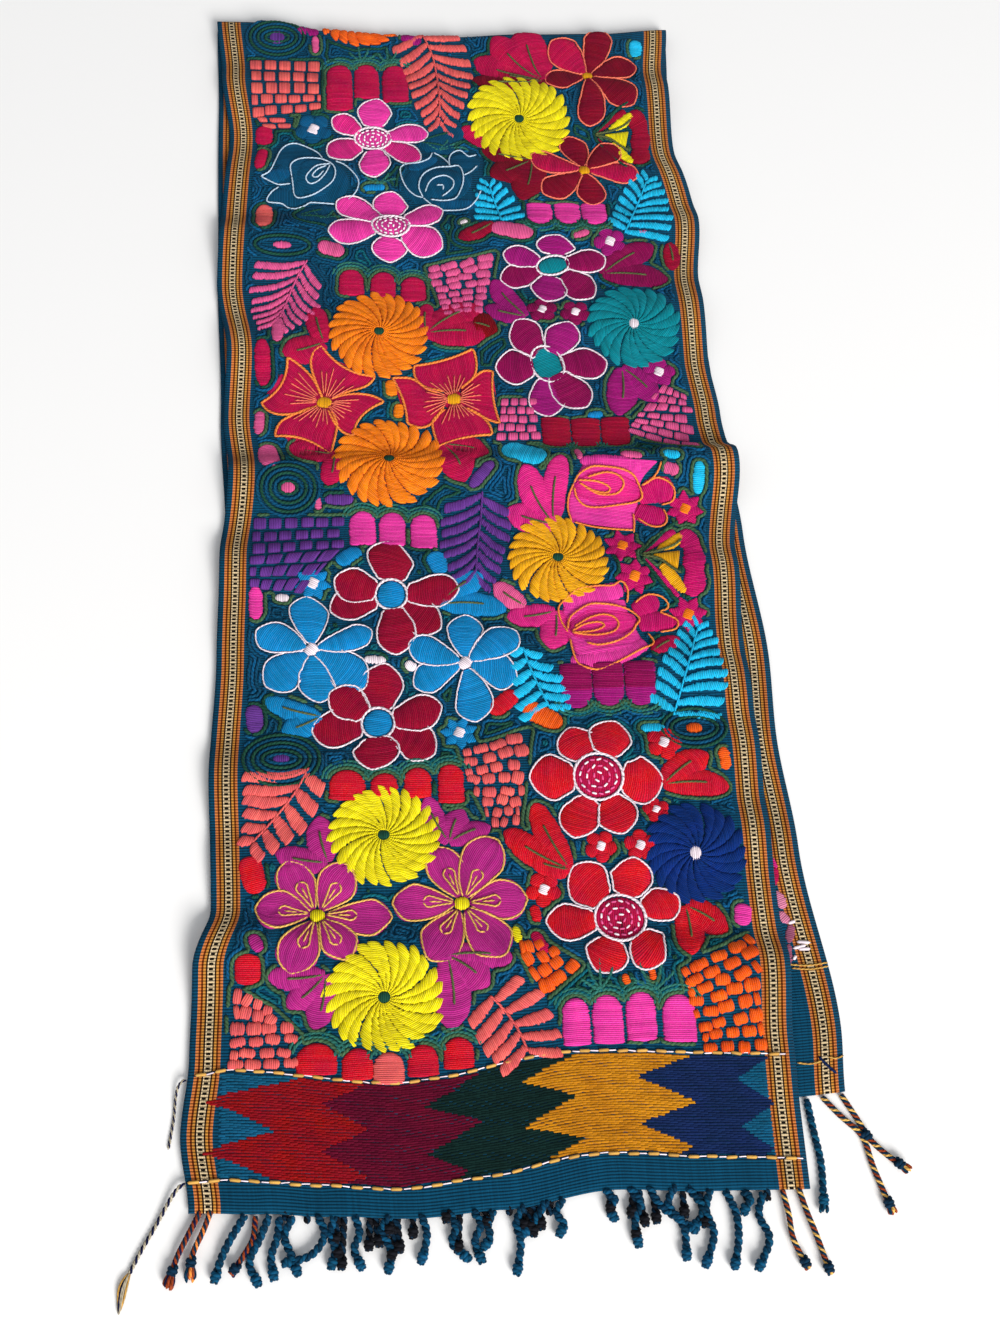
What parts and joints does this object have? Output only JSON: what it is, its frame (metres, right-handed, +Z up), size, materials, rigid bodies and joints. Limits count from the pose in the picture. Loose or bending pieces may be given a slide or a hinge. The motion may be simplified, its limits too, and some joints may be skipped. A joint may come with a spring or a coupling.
{
  "type": "embroidered table runner",
  "caption": "Long woven cotton table runner, folded once across its length, with low ridges, an embroidered face, a zigzag end band and knotted fringes.",
  "frame": {"origin": "middle of the bottom of the box that holds the cloth and its fringes, on the surface that it lies on; the loose stitching tails are left out of that box", "axes": "+Y along the runner from its knotted ends to its fold, +X across it, +Z up out of the face"},
  "size_m": [0.4805, 0.9989, 0.0216],
  "materials": {
    "woven_cloth": "teal hand-woven cotton with ribs and striped side borders",
    "fringe_yarn": "twisted teal cotton strands, knotted",
    "embroidery_yarn": "soft satin-stitch embroidery yarn in many colours"
  },
  "bodies": {
    "root": {"runner_cloth": "woven_cloth", "fringe_upper": "fringe_yarn", "fringe_lower": "fringe_yarn", "stitch_tail_long": "embroidery_yarn", "stitch_tail_short": "embroidery_yarn"}
  },
  "joints": []
}
